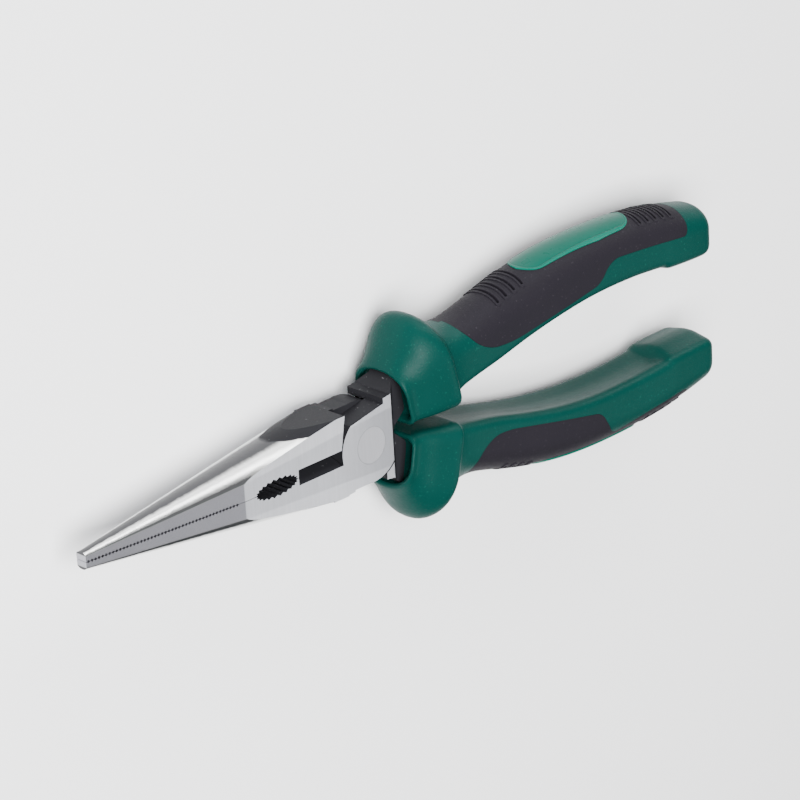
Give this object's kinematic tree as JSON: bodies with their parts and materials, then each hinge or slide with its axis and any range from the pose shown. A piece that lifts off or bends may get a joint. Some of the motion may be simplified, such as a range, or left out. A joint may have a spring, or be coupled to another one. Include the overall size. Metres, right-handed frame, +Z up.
{
  "type": "needle nose pliers",
  "caption": "Long nose pliers with serrated tapering jaws, a pipe grip, a bevelled side cutter, a riveted lap joint and two-colour moulded handles with finger guards.",
  "frame": {"origin": "centre of the pliers' footprint as they lie flat, on the surface that the collars rest on", "axes": "+X towards the handle ends, -X towards the jaw tips, +Y towards the upper handle, +Z up along the pivot axis, out of the joint's front face"},
  "size_m": [0.2053, 0.0566, 0.0232],
  "materials": {
    "tool_steel": "ground and brushed forged steel, black oxide where it is not ground",
    "rivet_steel": "ground flush with the joint",
    "grip_green": "finely grained satin moulded grip",
    "inlay_charcoal": "soft matt overmoulded inlay with a fine grain",
    "badge_green": "smooth glossy plate"
  },
  "bodies": {
    "front_half": {"lower_jaw_forging": "tool_steel", "pivot_rivet": "rivet_steel", "upper_grip_body": "grip_green", "upper_soft_inlay": "inlay_charcoal", "upper_badge_plate": "badge_green"},
    "back_half": {"upper_jaw_forging": "tool_steel", "lower_grip_body": "grip_green", "lower_soft_inlay": "inlay_charcoal", "lower_badge_plate": "badge_green"}
  },
  "joints": [
    {"name": "pivot", "type": "hinge", "parent": "front_half", "child": "back_half", "pos_m": [-0.01865, 0, 0.0116], "axis": [0, 0, -1], "range_deg": [0, 42]}
  ]
}
